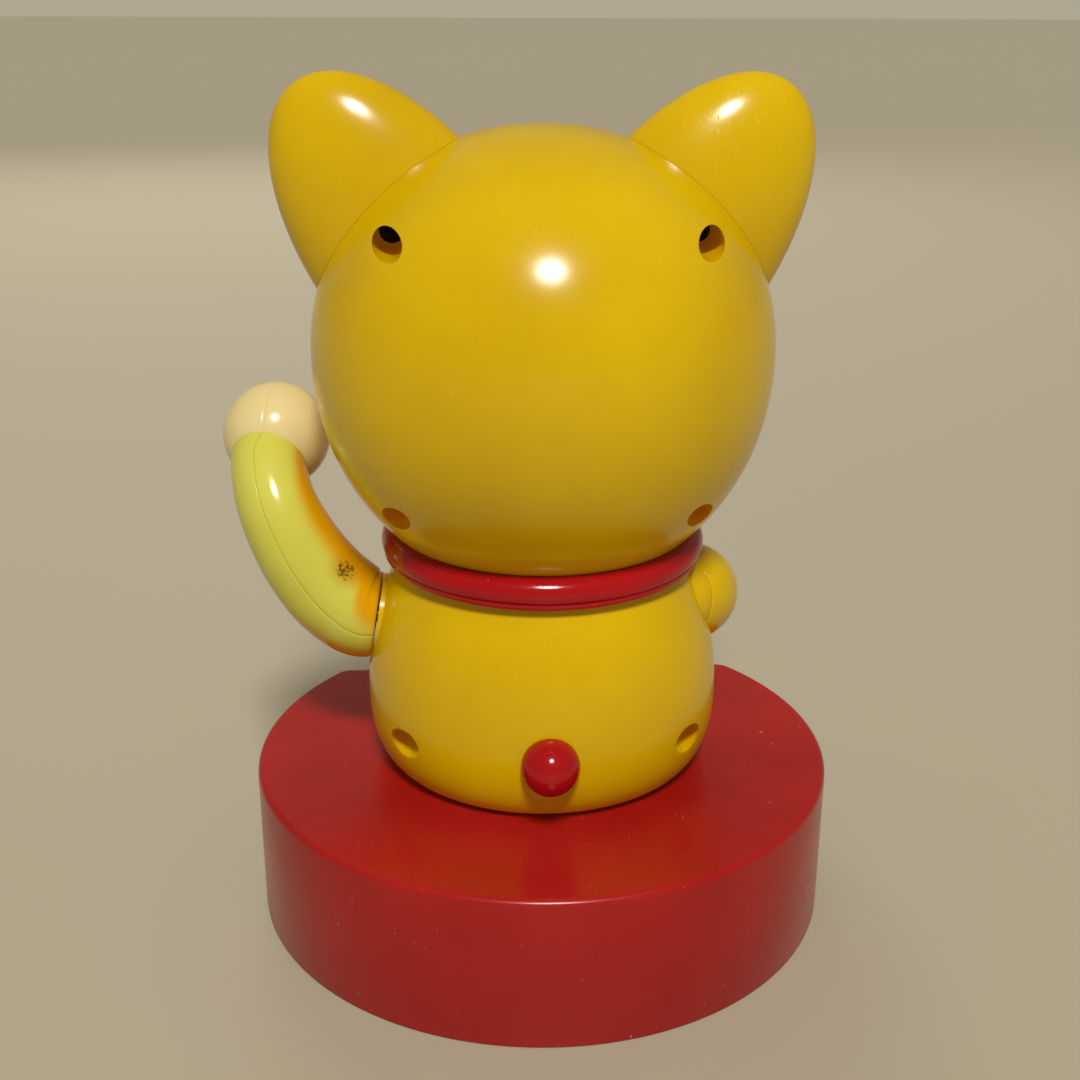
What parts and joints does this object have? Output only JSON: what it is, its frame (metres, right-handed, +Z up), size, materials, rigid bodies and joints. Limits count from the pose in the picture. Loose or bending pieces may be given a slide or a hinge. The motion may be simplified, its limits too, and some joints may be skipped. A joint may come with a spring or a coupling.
{
  "type": "wind-up beckoning cat toy",
  "caption": "Wind-up beckoning cat toy: a rounded yellow cat with a red collar and ball tail sits on a red D-shaped base with a clockwork motor and waves its raised arm.",
  "frame": {"origin": "centre of the base's round edge, on the face that rests on the table", "axes": "+Z up; the figure's front, the base's flat side and the winding key face -Y; the raised arm is at +X"},
  "size_m": [0.1261, 0.1184, 0.1691],
  "materials": {
    "base_red": "gloss",
    "collar_red": "gloss",
    "shell_yellow": "gloss",
    "arm_lemon": "gloss",
    "paw_cream": "gloss",
    "ink_black": "gloss",
    "ink_brown": "gloss",
    "steel": "satin",
    "spring_steel": "satin",
    "brass": "satin"
  },
  "bodies": {
    "frame": {"base_shell": "base_red", "base_cover": "base_red", "cover_screws": "steel", "figure_screws": "steel", "body_rear": "shell_yellow", "body_front": "shell_yellow", "body_screws": "steel", "collar": "collar_red", "neck_spool": "shell_yellow", "head_rear": "shell_yellow", "head_front": "shell_yellow", "head_screws": "steel", "ear_left": "shell_yellow", "ear_right": "shell_yellow", "ear_lining_left": "paw_cream", "ear_lining_right": "paw_cream", "eye_left": "ink_black", "eye_right": "ink_black", "nose": "ink_brown", "mouth": "ink_brown", "whiskers": "ink_brown", "tail_ball": "collar_red", "tail_screw": "steel", "right_arm": "shell_yellow", "right_paw": "paw_cream", "foot_left": "paw_cream", "foot_right": "paw_cream", "shoulder_bush": "brass", "shaft_bracket": "steel", "bracket_screws": "steel", "motor_front_plate": "steel", "motor_rear_plate": "steel", "motor_pillars": "steel", "motor_screws": "steel", "mainspring": "spring_steel", "rod_guide": "brass"},
    "arm": {"arm_outer": "arm_lemon", "arm_inner": "arm_lemon", "left_paw": "paw_cream", "arm_shaft": "steel", "shaft_lever": "brass", "shaft_clip": "steel"},
    "winding": {"winding_key": "steel", "winding_arbor": "steel", "ratchet_wheel": "steel"},
    "great_train": {"great_wheel": "brass", "click_stud": "steel"},
    "pawl": {"click": "steel"},
    "second_train": {"second_wheel": "brass", "second_arbor": "steel"},
    "crank": {"crank_wheel": "brass", "crank_arbor": "steel", "crank_disc": "brass"},
    "fourth_train": {"fourth_wheel": "brass", "fourth_arbor": "steel"},
    "governor": {"governor_arbor": "steel", "governor_fly": "steel"},
    "rod": {"pushrod": "steel"}
  },
  "joints": [
    {"name": "arm_wave", "type": "hinge", "parent": "frame", "child": "arm", "pos_m": [0.0342, 0, 0.0618], "axis": [0.9877, 0, 0.1564], "range_deg": [-20, 20]},
    {"name": "rod_slide", "type": "slide", "parent": "frame", "child": "rod", "axis": [0, 0, 1], "range_m": [-0.0052, 0.0052]},
    {"name": "crank_turn", "type": "hinge", "parent": "frame", "child": "crank", "pos_m": [0.00885, -0.026, 0.0156], "axis": [0, 1, 0], "range_deg": [-44, 44]},
    {"name": "second_turn", "type": "hinge", "parent": "frame", "child": "second_train", "pos_m": [-0.002, -0.026, 0.0191], "axis": [0, 1, 0], "range_deg": [-12, 12]},
    {"name": "great_turn", "type": "hinge", "parent": "frame", "child": "great_train", "pos_m": [-0.01679, -0.026, 0.0156], "axis": [0, 1, 0], "range_deg": [-4, 4]},
    {"name": "fourth_turn", "type": "hinge", "parent": "frame", "child": "fourth_train", "pos_m": [0.0197, -0.026, 0.0191], "axis": [0, 1, 0], "range_deg": [-160, 160]},
    {"name": "governor_turn", "type": "hinge", "parent": "frame", "child": "governor", "pos_m": [0.03055, -0.026, 0.0156], "axis": [0, 1, 0], "range_deg": [-600, 600]},
    {"name": "key_wind", "type": "hinge", "parent": "frame", "child": "winding", "pos_m": [-0.01679, -0.026, 0.0156], "axis": [0, 1, 0], "continuous": true},
    {"name": "click_lift", "type": "hinge", "parent": "great_train", "child": "pawl", "pos_m": [-0.00859, -0.026, 0.0156], "axis": [0, -1, 0], "range_deg": [0, 16], "stiffness_Nm_per_rad": 0.0001, "springref_deg": -5.73}
  ],
  "couplings": [
    {"joint": "rod_slide", "follows": "arm_wave", "m_per_rad": -0.0136},
    {"joint": "crank_turn", "follows": "arm_wave", "ratio": 2},
    {"joint": "second_turn", "follows": "arm_wave", "ratio": -0.53333},
    {"joint": "great_turn", "follows": "arm_wave", "ratio": 0.14222},
    {"joint": "fourth_turn", "follows": "arm_wave", "ratio": -7.5},
    {"joint": "governor_turn", "follows": "arm_wave", "ratio": 28.125}
  ]
}
